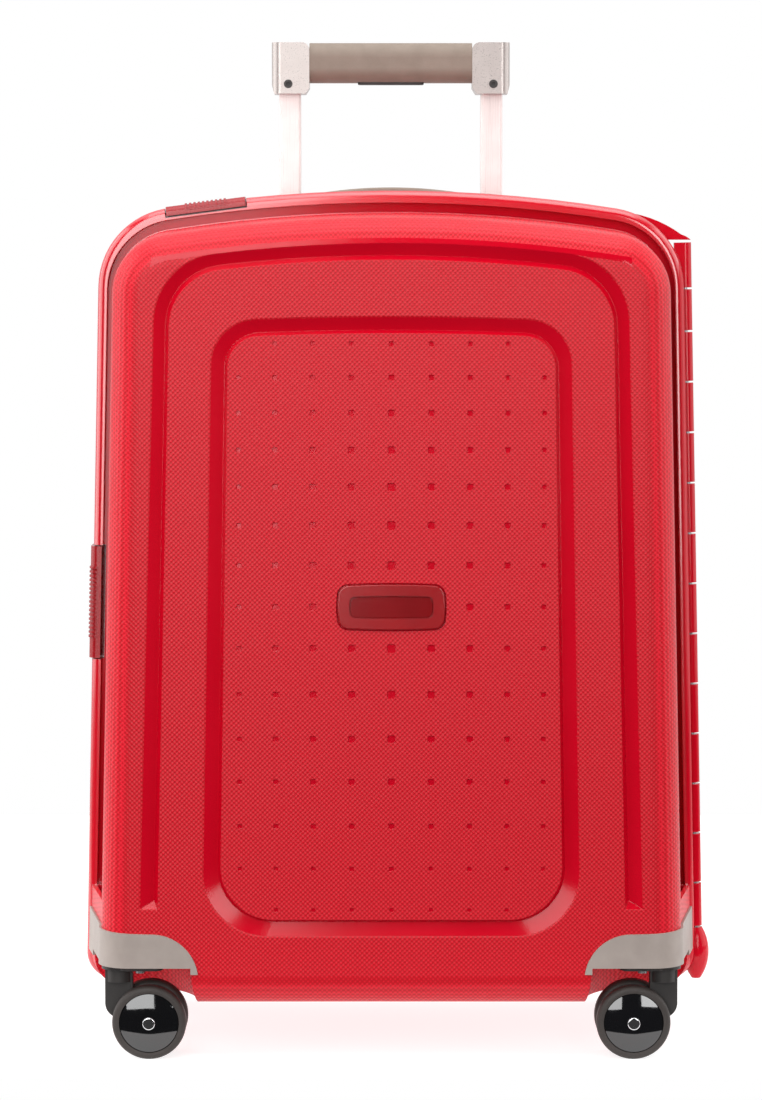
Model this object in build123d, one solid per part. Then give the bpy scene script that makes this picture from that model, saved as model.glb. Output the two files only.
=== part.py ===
from build123d import *
import math
import os

# Hard shell cabin suitcase on four twin-wheel castors, in millimetres.
# X runs across the case (hinge side +X, latch side -X), Y from the lid (-Y) to the
# trolley side (+Y), Z up.  Y = 0 is the parting plane and Z = 0 is the floor.
# Everything is modelled about the middle of the case; write() then moves it by
# FRAME_SHIFT, because the hinge stands out on one side only.
FRAME_SHIFT = -4.0

# ---- driving dimensions of the case -------------------------------------------------
HALF_WIDTH = 200.0          # half the width of the rim, measured at floor height
FLARE = 0.023               # how much each side leans in for every millimetre of height
BOTTOM = 34.0               # underside of the case
TOP = 547.5                 # highest point of the crowned rim
CROWN_RADIUS = 920.0
CORNER_RADIUS = 52.0
FOOT_CORNER_RADIUS = 18.0
LID_DEPTH = 98.0
REAR_DEPTH = 100.0
WALL = 3.0
DRAFT = 5.0                 # how far the walls lean in over the depth of a half
EDGE_RADIUS = 20.0          # rounding between the walls and the flat face
SEAM = 0.2                  # each half stops this far from the parting plane

# ---- rim and the groove beside it ----------------------------------------------------
RIM_DEPTH = 12.0
RIM_ROUND = 5.5
BAND_SIDE, BAND_TOP = 6.2, 7.8          # width of the rim bead
GROOVE_SIDE, GROOVE_TOP = 10.5, 13.8    # where the groove ends and the wall begins
GROOVE_FLOOR = 5.0
GROOVE_END = 97.0                       # the groove stops at this height
LOWER_LIP = 10.0                        # height of the inner lip along the bottom

# ---- pressed channels of the two faces -----------------------------------------------
CHANNEL_DEPTH = 3.2
CHANNEL_END = 96.0
CHANNEL_END_RISE = 5.5

# ---- hinge ---------------------------------------------------------------------------
HINGE_OFFSET = 1.2          # axis to the side of the rim
KNUCKLE_RADIUS = 4.4
KNUCKLE_GAP = 1.2
PIN_RADIUS = 1.5
RUNNING = 0.05              # radial clearance of every running fit
CLEAR = 0.4
HINGE_LOW, HINGE_HIGH = 67.8, 484.8
END_KNUCKLES = 29.2, 27.1   # lengths of the lowest and highest knuckle
KNUCKLE_PITCH = 32.75
HEAD_TOP = 515.0            # top of the lid's upper hinge block
FOOT_RADIUS = 8.6           # bulge of the hinge foot

# ---- castors -------------------------------------------------------------------------
CASTOR_X = 172.4
CASTOR_Y = {"front": -80.0, "rear": 58.0}
TRAIL = 19.6                # wheel axle to swivel axis
WHEEL_RADIUS = 23.4
HUB_RADIUS = 18.9
WHEEL_OUTER, WHEEL_INNER = 17.0, 5.2    # faces of one wheel, from the swivel axis
WELL_RADIUS = 50.0
WELL_TOP = 59.0
FORK_HALF = 8.7
BLADE_HALF = 4.7
AXLE_RADIUS = 2.5
STEM_RADIUS = 3.0
SOCKET_RADIUS = 7.5
SCREW_PLACES = ((14, -9), (14, 9), (23, 0))     # inboard of the swivel

# ---- telescopic handle ---------------------------------------------------------------
TROLLEY_Y = 80.0
TUBE_X = 67.0
INNER_TUBE = 14.6, 9.6
TUBE_WALL = 1.2
TUBE_GAP = 0.3
TUBE_LOW = 60.0
TUBE_HIGH = 514.0
GRIP_BOTTOM, GRIP_TOP = 620.4, 646.8
GRIP_DEPTH = 22.0
GRIP_HALF = 54.0
CAP_HALF = 79.0
CAP_BOTTOM = 613.0
POCKET_FLOOR = 516.0

HINGE_LINE = Plane(
    origin=(HALF_WIDTH + HINGE_OFFSET, 0, 0), x_dir=(1, 0, FLARE), z_dir=(-FLARE, 0, 1)
)
ALL_HEIGHTS = 700.0


def write(shape, name):
    """Saves one node, moved so that the origin is under the middle of the whole case."""
    moved = Pos(FRAME_SHIFT, 0, 0) * shape
    solids = moved.solids()
    export_step(solids[0] if len(solids) == 1 else Compound(solids), f"parts/{name}.step")


def rim_half(height):
    """Half the rim's width at a height."""
    return HALF_WIDTH - FLARE * height


def block(x, y, z):
    """A box given by its (low, high) limits along each axis."""
    size = (x[1] - x[0], y[1] - y[0], z[1] - z[0])
    return Pos(*(sum(limits) / 2 for limits in (x, y, z))) * Box(*size)


def rod(radius, low, high):
    """A cylinder on the Z axis between two heights."""
    return Pos(0, 0, (low + high) / 2) * Cylinder(radius, high - low)


def on_face(sketch, y):
    """Stands a flat XY sketch up in the XZ plane at depth y."""
    return Pos(0, y, 0) * (Plane.XZ * sketch)


def slab(sketch, y_low, y_high):
    """An upright sketch made solid between two depths."""
    return extrude(on_face(sketch, y_high), y_high - y_low)


def between(sketch, y, other, other_y):
    """A straight-sided solid from one upright outline to another."""
    return loft([on_face(sketch, y).face(), on_face(other, other_y).face()], ruled=True)


def flared_outline(half_width, flare, bottom, top, crown, top_radius, bottom_radius):
    """Flared sides, a crowned top edge and rounded corners; half_width is at floor height."""
    reach = half_width - flare * top
    shoulder = top - crown + math.sqrt(crown**2 - reach**2)
    high, low = half_width - flare * shoulder, half_width - flare * bottom
    edges = [
        Line((-high, shoulder), (-low, bottom)),
        Line((-low, bottom), (low, bottom)),
        Line((low, bottom), (high, shoulder)),
        ThreePointArc((high, shoulder), (0, top), (-high, shoulder)),
    ]
    face = make_face(edges)
    face = fillet(face.vertices().sort_by(Axis.Y)[-2:], top_radius)
    return fillet(face.vertices().sort_by(Axis.Y)[:2], bottom_radius)


def case_outline(side, top, bottom=0.0, corner=None):
    """The rim's outline, moved in by the given amounts."""
    return flared_outline(
        HALF_WIDTH - side,
        FLARE,
        BOTTOM + bottom,
        TOP - top,
        CROWN_RADIUS,
        CORNER_RADIUS - min(side, top),
        FOOT_CORNER_RADIUS if corner is None else corner,
    )


# ---- the two halves ------------------------------------------------------------------


def half_body(way, depth, grow):
    """Outer form of one half, grown all round; way is -1 for the lid and +1 for the rear."""
    mouth = case_outline(GROOVE_SIDE - grow, GROOVE_TOP - grow, -grow, 26)
    face = case_outline(GROOVE_SIDE + DRAFT - grow, GROOVE_TOP + DRAFT - grow, -grow, 26)
    far = way * (depth + grow)
    body = between(mouth, 0, face, far)
    rim_edges = body.edges().filter_by_position(Axis.Y, far - 0.01, far + 0.01)
    body = fillet(rim_edges, EDGE_RADIUS + grow)
    wide = case_outline(0.8 - grow, 0.8 - grow, -grow, 20)
    narrow = case_outline(GROOVE_SIDE + 5 - grow, GROOVE_TOP + 5 - grow, -grow, 20)
    cheek = between(wide, 0, narrow, way * 78)
    return body + (cheek & block((-300, 300), (-200, 200), (0, GROOVE_END)))


def half_rim(way):
    """The bead around the mouth of one half, with its rounded outer edge."""
    rim = slab(case_outline(0, 0), *sorted((way * SEAM, way * RIM_DEPTH)))
    edge = rim.edges().filter_by_position(Axis.Y, way * RIM_DEPTH - 0.01, way * RIM_DEPTH + 0.01)
    return fillet(edge, RIM_ROUND)


def groove(way):
    """The groove between the bead and the wall, closed at its two lower ends."""
    limits = sorted((way * GROOVE_FLOOR, way * (RIM_DEPTH + 1)))
    ring = slab(case_outline(BAND_SIDE, BAND_TOP, -60), *limits)
    ring -= slab(case_outline(GROOVE_SIDE, GROOVE_TOP, -60), *limits)
    return ring & block((-300, 300), (-200, 200), (GROOVE_END, ALL_HEIGHTS))


def channel(way, depth, outer, fold, inner, grow=0.0):
    """A pressed channel: a broad slope from its outer edge and a steep step at its inner one."""
    face, floor = way * depth, way * (depth - CHANNEL_DEPTH - grow)
    cut = between(outer, face, fold, floor)
    return cut - between(inner, face, fold, floor)


def outer_channel(way, depth, grow=0.0):
    """The inverted U near the edge of a face, which ends in a sloping facet."""
    cut = channel(
        way,
        depth,
        flared_outline(161.4 + grow, 0.0287, 20 - grow, 514.2 + grow, 920, 45, 30),
        flared_outline(151.7, 0.0249, 34, 505.8, 920, 38, 26),
        flared_outline(149.0 - grow, 0.0240, 38 + grow, 502.8 - grow, 920, 36, 24),
        grow,
    )
    face = way * depth
    floor = way * (depth - CHANNEL_DEPTH - grow)
    low, high = CHANNEL_END - grow, CHANNEL_END - grow + CHANNEL_END_RISE
    profile = Polyline(
        (face, low), (floor, high), (floor, ALL_HEIGHTS), (face, ALL_HEIGHTS), close=True
    )
    return cut & extrude(Plane.YZ * make_face(profile), 300, both=True)


def inner_channel(way, depth, grow=0.0):
    """The closed ring in the middle of a face."""
    return channel(
        way,
        depth,
        flared_outline(121.1 + grow, 0.0193, 78.7 - grow, 468.4 + grow, 2000, 29, 40),
        flared_outline(111.0, 0.0170, 88.2, 459.6, 2000, 22, 34),
        flared_outline(109.1 - grow, 0.0170, 89.7 + grow, 457.5 - grow, 2000, 20, 33),
        grow,
    )


def wells(row, grow=0.0):
    """The two wheel wells of a half."""
    well = rod(WELL_RADIUS + grow, -20, WELL_TOP + grow)
    return Pos(-CASTOR_X, CASTOR_Y[row], 0) * well + Pos(CASTOR_X, CASTOR_Y[row], 0) * well


def tray(way, depth, row, channels):
    """One hollow half of the case, before its own fittings are cut into it."""
    solid = half_body(way, depth, 0) + half_rim(way) - groove(way)
    solid -= block((-300, 300), sorted((-way * 40, way * SEAM)), (0, ALL_HEIGHTS))
    solid -= wells(row)
    hollow = half_body(way, depth, -WALL) - wells(row, WALL)
    hollow &= block((-300, 300), sorted((way * RIM_DEPTH, way * 200)), (0, ALL_HEIGHTS))
    mouth = case_outline(GROOVE_SIDE + WALL, GROOVE_TOP + WALL, LOWER_LIP, 26)
    hollow += slab(mouth, *sorted((-way, way * (RIM_DEPTH + 1))))
    for cutter in channels:
        hollow -= cutter(way, depth, WALL)
        solid -= cutter(way, depth)
    return solid - hollow


# ---- hinge ---------------------------------------------------------------------------


def knuckle_edges():
    """Heights that part the knuckles, from the lowest to the highest."""
    first = HINGE_LOW + END_KNUCKLES[0]
    return [HINGE_LOW] + [first + KNUCKLE_PITCH * i for i in range(12)] + [HINGE_HIGH]


def knuckle(way, low, high):
    """A knuckle and the web that joins it to the rim of its half."""
    low, high = low + KNUCKLE_GAP / 2, high - KNUCKLE_GAP / 2
    web = block((-7, 0), sorted((way * SEAM, way * KNUCKLE_RADIUS)), (low, high))
    return HINGE_LINE.location * (rod(KNUCKLE_RADIUS, low, high) + web)


def hinge_foot():
    """The rounded foot at the lower end of the hinge, a body of revolution on its axis."""
    low, high = 33.5, HINGE_LOW - KNUCKLE_GAP / 2
    profile = make_face(
        [
            Line((0, low), (3.0, low)),
            ThreePointArc((3.0, low), (FOOT_RADIUS, 53), (KNUCKLE_RADIUS, high)),
            Line((KNUCKLE_RADIUS, high), (0, high)),
            Line((0, high), (0, low)),
        ]
    )
    foot = revolve(Plane.XZ * profile, Axis.Z)
    web = block((-12, -1), (-7.5, -SEAM), (44, high))
    return HINGE_LINE.location * (foot + web)


def hinge_reliefs():
    """Room around the hinge axis, taken out of both rims before the knuckles go on."""
    along = rod(KNUCKLE_RADIUS + CLEAR, HINGE_LOW - 1, HEAD_TOP + 1)
    foot = rod(FOOT_RADIUS + CLEAR, 20, HINGE_LOW)
    return HINGE_LINE.location * (along + foot)


def pin_hole(radius):
    """The hole, or the pin, that runs the length of the hinge."""
    return HINGE_LINE.location * rod(radius, 40, HEAD_TOP - 3)


def rear_corner():
    """The corner of the rear half that covers the upper end of the hinge."""
    low = HEAD_TOP + 1
    face = make_face(
        [
            Line((140, low), (149, 534)),
            ThreePointArc((149, 534), (172, 528.2), (187.5, 519.4)),
            ThreePointArc((187.5, 519.4), (191, 517.9), (193.6, low)),
            Line((193.6, low), (140, low)),
        ]
    )
    return slab(face, SEAM, RIM_DEPTH)


# ---- latches -------------------------------------------------------------------------

LATCHES = {
    # name: rim point x and z, lean of the outward normal from +Z towards -X in degrees,
    # length of the lever, length of its ribbed stretch, how far it stands out
    "top_latch": (-119.5, 539.7, 7.4, 51.4, 28.0, 0.6),
    "side_latch": (-rim_half(282), 282.0, 90 - math.degrees(FLARE), 72.6, 48.0, 1.8),
    "bottom_latch": (-84.0, BOTTOM, 180.0, 53.6, 28.0, 0.0),
}
LATCH_PIVOT_Y, LATCH_PIVOT_U = 8.0, -2.6
LEVER_FRONT = -11.6
LEVER_INSIDE = 5.4


def latch_frame(name):
    """Local axes at a latch: x along the rim, y as in the case, z straight out of the rim."""
    x, z, lean = LATCHES[name][:3]
    tilt = math.radians(lean)
    return Plane(
        origin=(x, 0, z),
        x_dir=(math.cos(tilt), 0, math.sin(tilt)),
        z_dir=(-math.sin(tilt), 0, math.cos(tilt)),
    ).location


def lever_profile(outside, front):
    """Section of a lever: a rounded nose over the lid's rim and a rounded heel on the pivot."""
    heel = outside - LATCH_PIVOT_U
    nose = 5.0
    top_nose = (front + nose, outside)
    middle = (front + nose * (1 - math.sqrt(0.5)), outside - nose * (1 - math.sqrt(0.5)))
    heel_low = (LATCH_PIVOT_Y, LATCH_PIVOT_U - heel)
    return make_face(
        [
            Line((front, -LEVER_INSIDE), (front, outside - nose)),
            ThreePointArc((front, outside - nose), middle, top_nose),
            Line(top_nose, (LATCH_PIVOT_Y, outside)),
            ThreePointArc(
                (LATCH_PIVOT_Y, outside), (LATCH_PIVOT_Y + heel, LATCH_PIVOT_U), heel_low
            ),
            Line(heel_low, (2, heel_low[1])),
            Line((2, heel_low[1]), (2, -LEVER_INSIDE + 2)),
            Line((2, -LEVER_INSIDE + 2), (-4, -LEVER_INSIDE)),
            Line((-4, -LEVER_INSIDE), (front, -LEVER_INSIDE)),
        ]
    )


def latch_lever(name):
    """A pivoting lever with finger ribs across its nose."""
    length, ribbed, proud = LATCHES[name][3:]
    lever = extrude(Plane.YZ * lever_profile(proud, LEVER_FRONT), length / 2, both=True)
    rib = extrude(Plane.YZ * lever_profile(proud + 0.7, LEVER_FRONT - 0.7), 0.6, both=True)
    rib &= block((-1, 1), (-20, -1), (-3, 10))
    steps = int(ribbed / 2.8)
    for i in range(steps):
        lever += Pos((i - (steps - 1) / 2) * 2.8, 0, 0) * rib
    lever -= Pos(0, LATCH_PIVOT_Y, LATCH_PIVOT_U) * Rot(0, 90, 0) * Cylinder(
        PIN_RADIUS + RUNNING, length + 2
    )
    return latch_frame(name) * lever


def latch_notch(name):
    """The room a lever needs in both rims."""
    length, _, proud = LATCHES[name][3:]
    half = length / 2 + 0.8
    heel = proud - LATCH_PIVOT_U + CLEAR + 0.2
    notch = block((-half, half), (-14, LATCH_PIVOT_Y), (LATCH_PIVOT_U - heel - 0.2, 20))
    notch += Pos(0, LATCH_PIVOT_Y, LATCH_PIVOT_U) * Rot(0, 90, 0) * Cylinder(heel, 2 * half)
    notch += block((-half, half), (0, LATCH_PIVOT_Y + heel), (LATCH_PIVOT_U, 20))
    return latch_frame(name) * notch


def latch_pin(name):
    """The pivot pin of a lever, held at both ends by the rear rim."""
    length = LATCHES[name][3] + 12
    pin = Pos(0, LATCH_PIVOT_Y, LATCH_PIVOT_U) * Rot(0, 90, 0) * Cylinder(PIN_RADIUS, length)
    return latch_frame(name) * pin


# ---- combination lock ----------------------------------------------------------------

LOCK_Z, LOCK_Y = 282.0, 30.0
LOCK_HALF = 35.0
DIAL_RADIUS, DIAL_HALF = 7.0, 2.5
DIAL_DEPTH = -5.0
DIAL_STEPS = (-20.0, -10.5, -1.0)


def lock_frame():
    """Local axes on the latch side wall: x up the case, z straight out."""
    inset = GROOVE_SIDE + DRAFT * LOCK_Y / REAR_DEPTH
    return Plane(
        origin=(-rim_half(LOCK_Z) + inset, LOCK_Y, LOCK_Z),
        x_dir=(FLARE, 0, 1),
        z_dir=(-1, 0, FLARE),
    ).location


def lock_housing():
    """The lock's body, which fills a window in the side wall; dials and key slot open outward."""
    body = block((-LOCK_HALF, LOCK_HALF), (-11, 11), (-18, 1.2))
    body = fillet(body.edges().filter_by(Axis.Z), 4)
    body = fillet(body.faces().sort_by(Axis.Z)[-1].edges(), 0.8)
    for step in DIAL_STEPS:
        body -= block(
            (step - DIAL_HALF - 0.5, step + DIAL_HALF + 0.5), (-7.6, 7.6), (-12.8, 3)
        )
    body -= Pos(20, 0, 1.2) * Cylinder(5, 1.6)
    return body


def lock_spindle():
    """The shaft that carries the dials."""
    return Pos(-10.5, 0, DIAL_DEPTH) * Rot(0, 90, 0) * Cylinder(PIN_RADIUS, 32)


def dial(step):
    """A numbered wheel with ten finger notches."""
    wheel = Cylinder(DIAL_RADIUS, 2 * DIAL_HALF)
    for i in range(10):
        angle = 36 * i
        wheel -= Rot(0, 0, angle) * Pos(DIAL_RADIUS + 0.5, 0, 0) * Cylinder(1.0, 20)
    wheel -= Cylinder(PIN_RADIUS + RUNNING, 20)
    return lock_frame() * Pos(step, 0, DIAL_DEPTH) * Rot(0, 90, 0) * wheel


# ---- carry handles -------------------------------------------------------------------

HANDLE_WIDTH = 18.0
HANDLE_REACH = 84.0         # middle of the handle to the middle of a leg
HANDLE_RISE = 17.6          # outer face of the bow above the wall
TOP_SAG, SIDE_SAG = 12.0, 6.0           # how much lower a bow's ends are than its middle
BOW_THICK = 5.0
LEG_THICK = 5.0
HANDLE_FOOT = 22.0          # how deep the legs reach into the case


def top_handle_frame():
    """On top of the rear half: x across the case, z up."""
    return Plane(origin=(0, 25, TOP - GROOVE_TOP - DRAFT * 25 / REAR_DEPTH)).location


def side_handle_frame():
    """On the latch side of the rear half: x up the case, z out of it."""
    y, z = 60.0, 282.0
    inset = GROOVE_SIDE + DRAFT * y / REAR_DEPTH
    return Plane(
        origin=(-rim_half(z) + inset, y, z), x_dir=(FLARE, 0, 1), z_dir=(-1, 0, FLARE)
    ).location


def carry_handle(sag):
    """A bowed strap with two legs; feet inside the case stop it when it is lifted."""
    reach, top = HANDLE_REACH, HANDLE_RISE
    ends = top - sag
    outer = ThreePointArc((-reach, ends), (0, top), (reach, ends))
    lower = ThreePointArc((reach, ends - BOW_THICK), (0, top - BOW_THICK), (-reach, ends - BOW_THICK))
    bow = make_face(
        [
            outer,
            Line((reach, ends), (reach, ends - BOW_THICK)),
            lower,
            Line((-reach, ends - BOW_THICK), (-reach, ends)),
        ]
    )
    solid = slab(bow, -HANDLE_WIDTH / 2, HANDLE_WIDTH / 2)
    for side in (-1, 1):
        x = side * reach
        half = HANDLE_WIDTH / 2
        solid += block(
            (x - LEG_THICK / 2, x + LEG_THICK / 2), (-half, half), (-HANDLE_FOOT, ends)
        )
    long_edges = solid.edges().filter_by(Plane.XZ).filter_by(GeomType.CIRCLE)
    solid = fillet(long_edges, 1.8)
    for side in (-1, 1):
        x = side * reach
        solid += block((x - 5, x + 5), (-11, 11), (-HANDLE_FOOT - 3, -HANDLE_FOOT))
    return solid


def handle_slots():
    """The two slots in the wall that a carry handle's legs pass through."""
    half_x, half_y = LEG_THICK / 2 + CLEAR, HANDLE_WIDTH / 2 + CLEAR
    slots = [
        block((x - half_x, x + half_x), (-half_y, half_y), (-14, 12))
        for x in (-HANDLE_REACH, HANDLE_REACH)
    ]
    return slots[0] + slots[1]


# ---- castors -------------------------------------------------------------------------


def castor_place(row, x):
    """Castor axes: origin on the floor under the swivel, +X towards the middle of the case."""
    turn = 0 if x < 0 else 180
    return Pos(x, CASTOR_Y[row], 0) * Rot(0, 0, turn)


def castor_turned(row, x):
    """Castor axes with +X along the trail: front ones trail inwards and rear ones backwards."""
    if row == "front":
        return castor_place(row, x)
    return Pos(x, CASTOR_Y[row], 0) * Rot(0, 0, 90)


def castor_screws():
    """Three screws that hold a castor base to the roof of its well."""
    screw = rod(1.6, WELL_TOP - 3, WELL_TOP + 5) + rod(3.0, WELL_TOP - 4.6, WELL_TOP - 3)
    screw -= Pos(0, 0, WELL_TOP - 4.6) * Box(4.4, 0.8, 1.6)
    screw -= Pos(0, 0, WELL_TOP - 4.6) * Box(0.8, 4.4, 1.6)
    return [Pos(x, y, 0) * screw for x, y in SCREW_PLACES]


def castor_base():
    """A flange that runs inboard from the socket in which the fork's stem turns."""
    tongue = block((0, 28), (-13, 13), (WELL_TOP - 3, WELL_TOP))
    base = rod(11, WELL_TOP - 3, WELL_TOP) + fillet(tongue.edges().filter_by(Axis.Z), 6)
    base += rod(SOCKET_RADIUS, WELL_TOP, WELL_TOP + 9)
    base -= rod(STEM_RADIUS + RUNNING, 0, WELL_TOP + 8)
    for screw in castor_screws():
        base -= screw
    return base


def castor_fork():
    """The blade between the twin wheels, with its stem and the bore for the axle."""
    head_low, head_high = WHEEL_RADIUS * 2 + 0.9, WELL_TOP - 3.6
    fork = rod(FORK_HALF, head_low, head_high)
    outline = make_face(
        [
            Line((-FORK_HALF, head_high), (-FORK_HALF, 34)),
            ThreePointArc((-FORK_HALF, 34), (-6.5, 28), (0, 24.5)),
            Line((0, 24.5), (TRAIL - 1, WHEEL_RADIUS - 8)),
            ThreePointArc(
                (TRAIL - 1, WHEEL_RADIUS - 8), (TRAIL + 8, WHEEL_RADIUS), (TRAIL - 1, WHEEL_RADIUS + 8)
            ),
            Line((TRAIL - 1, WHEEL_RADIUS + 8), (FORK_HALF, head_low - 4)),
            Line((FORK_HALF, head_low - 4), (FORK_HALF, head_high)),
            Line((FORK_HALF, head_high), (-FORK_HALF, head_high)),
        ]
    )
    blade = slab(outline, -BLADE_HALF, BLADE_HALF)
    fork += blade
    fork += rod(STEM_RADIUS, head_high - 1, WELL_TOP + 7)
    axle = Pos(TRAIL, 0, WHEEL_RADIUS) * Rot(90, 0, 0) * Cylinder(AXLE_RADIUS, 30)
    return fork - axle


def castor_axle():
    """A riveted axle with a domed cap outside each wheel."""
    axle = Cylinder(AXLE_RADIUS, 2 * WHEEL_OUTER + 0.4)
    cap = fillet(Cylinder(4.0, 1.0).edges().sort_by(Axis.Z)[-1], 0.7)
    lift = WHEEL_OUTER + 0.7
    axle += Pos(0, 0, lift) * cap
    axle += Pos(0, 0, -lift) * Rot(180, 0, 0) * cap
    return Pos(TRAIL, 0, WHEEL_RADIUS) * Rot(90, 0, 0) * axle


def hub_section():
    """Half section of a hub: a shallow dome outside and a dished back."""
    bore = AXLE_RADIUS + RUNNING
    edge = WHEEL_OUTER - 1.8
    return make_face(
        [
            Line((bore, WHEEL_INNER), (6, WHEEL_INNER)),
            Line((6, WHEEL_INNER), (8, WHEEL_INNER + 3)),
            Line((8, WHEEL_INNER + 3), (HUB_RADIUS - 3, WHEEL_INNER + 3)),
            Line((HUB_RADIUS - 3, WHEEL_INNER + 3), (HUB_RADIUS - 2, WHEEL_INNER)),
            Line((HUB_RADIUS - 2, WHEEL_INNER), (HUB_RADIUS, WHEEL_INNER)),
            Line((HUB_RADIUS, WHEEL_INNER), (HUB_RADIUS, edge - 0.5)),
            Line((HUB_RADIUS, edge - 0.5), (HUB_RADIUS - 0.5, edge)),
            ThreePointArc(
                (HUB_RADIUS - 0.5, edge), (HUB_RADIUS * 0.55, WHEEL_OUTER - 0.45), (bore, WHEEL_OUTER)
            ),
            Line((bore, WHEEL_OUTER), (bore, WHEEL_INNER)),
        ]
    )


def tyre_section():
    """Half section of a tyre with rounded shoulders."""
    outer, inner = WHEEL_OUTER - 1.3, WHEEL_INNER + 0.2
    shoulder = 3.2
    soft = shoulder * (1 - math.sqrt(0.5))
    return make_face(
        [
            Line((HUB_RADIUS, inner), (WHEEL_RADIUS - shoulder, inner)),
            ThreePointArc(
                (WHEEL_RADIUS - shoulder, inner),
                (WHEEL_RADIUS - soft, inner + soft),
                (WHEEL_RADIUS, inner + shoulder),
            ),
            Line((WHEEL_RADIUS, inner + shoulder), (WHEEL_RADIUS, outer - shoulder)),
            ThreePointArc(
                (WHEEL_RADIUS, outer - shoulder),
                (WHEEL_RADIUS - soft, outer - soft),
                (WHEEL_RADIUS - shoulder, outer),
            ),
            Line((WHEEL_RADIUS - shoulder, outer), (HUB_RADIUS, outer)),
            Line((HUB_RADIUS, outer), (HUB_RADIUS, inner)),
        ]
    )


def twin(section):
    """The same ring on both sides of the fork."""
    ring = revolve(Plane.XZ * section, Axis.Z)
    place = Pos(TRAIL, 0, WHEEL_RADIUS)
    return Compound([place * Rot(90, 0, 0) * ring, place * Rot(-90, 0, 0) * ring])


# ---- telescopic handle ---------------------------------------------------------------


def tube_size(stage):
    """Outer width and depth of a tube stage: 0 is the inner one, 2 the fixed outer one."""
    step = 2 * (TUBE_WALL + TUBE_GAP) * stage
    return INNER_TUBE[0] + step, INNER_TUBE[1] + step


def tube_solid(stage, side, low, high, hollow=True):
    """One tube of the telescope."""
    width, depth = tube_size(stage)
    sketch = RectangleRounded(width, depth, 2.0 + 0.4 * stage)
    if hollow:
        sketch -= RectangleRounded(
            width - 2 * TUBE_WALL, depth - 2 * TUBE_WALL, 1.2 + 0.2 * stage
        )
    return Pos(side * TUBE_X, TROLLEY_Y, low) * extrude(sketch, high - low)


def tube_passage(stage, side, low, high):
    """The hole that a tube stage slides through."""
    width, depth = tube_size(stage)
    sketch = RectangleRounded(width + 2 * TUBE_GAP, depth + 2 * TUBE_GAP, 2.0)
    return Pos(side * TUBE_X, TROLLEY_Y, low) * extrude(sketch, high - low)


def pocket(grow, low):
    """The recess in the rear half that takes the folded grip."""
    half, near, far = 84.0 + grow, 66.0 - grow, 94.0 + grow
    solid = block((-half, half), (near, far), (low, ALL_HEIGHTS))
    return fillet(solid.edges().filter_by(Axis.Z), 6)


def trolley_bezel(rear_form):
    """The tray around the folded grip, with a lip over the shell and holes for the tubes."""
    lip = pocket(3.5, 520) & rear_form & half_body(1, REAR_DEPTH, 1.0)
    bezel = pocket(2, POCKET_FLOOR - 4) & half_body(1, REAR_DEPTH, 1.0)
    bezel += lip - half_body(1, REAR_DEPTH, 0.0)
    bezel -= pocket(0, POCKET_FLOOR)
    for side in (-1, 1):
        bezel -= tube_passage(1, side, 480, 560)
    return bezel


def trolley_foot():
    """The cross piece that holds the outer tubes at their lower ends."""
    foot = block((-84, 84), (TROLLEY_Y - 10, TROLLEY_Y + 10), (TUBE_LOW - 8, TUBE_LOW + 14))
    foot = fillet(foot.edges().filter_by(Axis.Z), 5)
    foot -= block((-50, 50), (TROLLEY_Y - 20, TROLLEY_Y + 20), (TUBE_LOW + 2, TUBE_LOW + 30))
    for side in (-1, 1):
        foot -= tube_solid(2, side, TUBE_LOW, TUBE_LOW + 30, hollow=False)
    return foot


def grip_profile(depth, height, radius):
    """Rounded section of the grip, centred on the grip's axis."""
    middle = (GRIP_BOTTOM + GRIP_TOP) / 2
    return Pos(0, TROLLEY_Y, middle) * (Plane.YZ * RectangleRounded(depth, height, radius))


def button_pocket(grow):
    """Room for the release button in the underside of the grip."""
    return block(
        (-22 - grow, 22 + grow),
        (TROLLEY_Y - 4 - grow, TROLLEY_Y + 4 + grow),
        (GRIP_BOTTOM - 5, GRIP_BOTTOM + 12),
    )


def grip_core():
    """The stiff bar inside the grip."""
    bar = extrude(grip_profile(11, 15, 2), GRIP_HALF, both=True)
    return bar - button_pocket(CLEAR)


def grip_sleeve():
    """The soft sleeve over the core."""
    height = GRIP_TOP - GRIP_BOTTOM
    sleeve = extrude(grip_profile(GRIP_DEPTH, height, 9.5), GRIP_HALF, both=True)
    sleeve -= extrude(grip_profile(11, 15, 2), GRIP_HALF + 1, both=True)
    return sleeve - button_pocket(CLEAR)


def release_button():
    """The bar pressed up into the grip to free the tubes."""
    button = block(
        (-22, 22), (TROLLEY_Y - 4, TROLLEY_Y + 4), (GRIP_BOTTOM - 1.2, GRIP_BOTTOM + 6.5)
    )
    button = fillet(button.edges().filter_by(Axis.Z), 2.5)
    return fillet(button.faces().sort_by(Axis.Z)[0].edges(), 0.8)


def end_cap(side):
    """The metal corner that joins the grip to a tube."""
    half_depth = GRIP_DEPTH / 2 + 0.6
    outline = make_face(
        Polyline(
            (GRIP_HALF, CAP_BOTTOM + 4),
            (GRIP_HALF + 2.5, CAP_BOTTOM),
            (CAP_HALF - 1.5, CAP_BOTTOM),
            (CAP_HALF, CAP_BOTTOM + 6),
            (CAP_HALF, GRIP_TOP),
            (GRIP_HALF, GRIP_TOP),
            close=True,
        )
    )
    cap = slab(outline, TROLLEY_Y - half_depth, TROLLEY_Y + half_depth)
    cap = fillet(cap.edges().filter_by(Axis.Y).sort_by(Axis.Z)[-1:], 5)
    cap = fillet(cap.faces().sort_by(Axis.X)[-1].edges().filter_by(Axis.Z), 6)
    if side < 0:
        cap = mirror(cap, Plane.YZ)
    cap -= tube_solid(0, side, 600, 636, hollow=False)
    for screw in handle_screws():
        cap -= screw
    return cap.solids().sort_by(SortBy.VOLUME)[-1]


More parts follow.
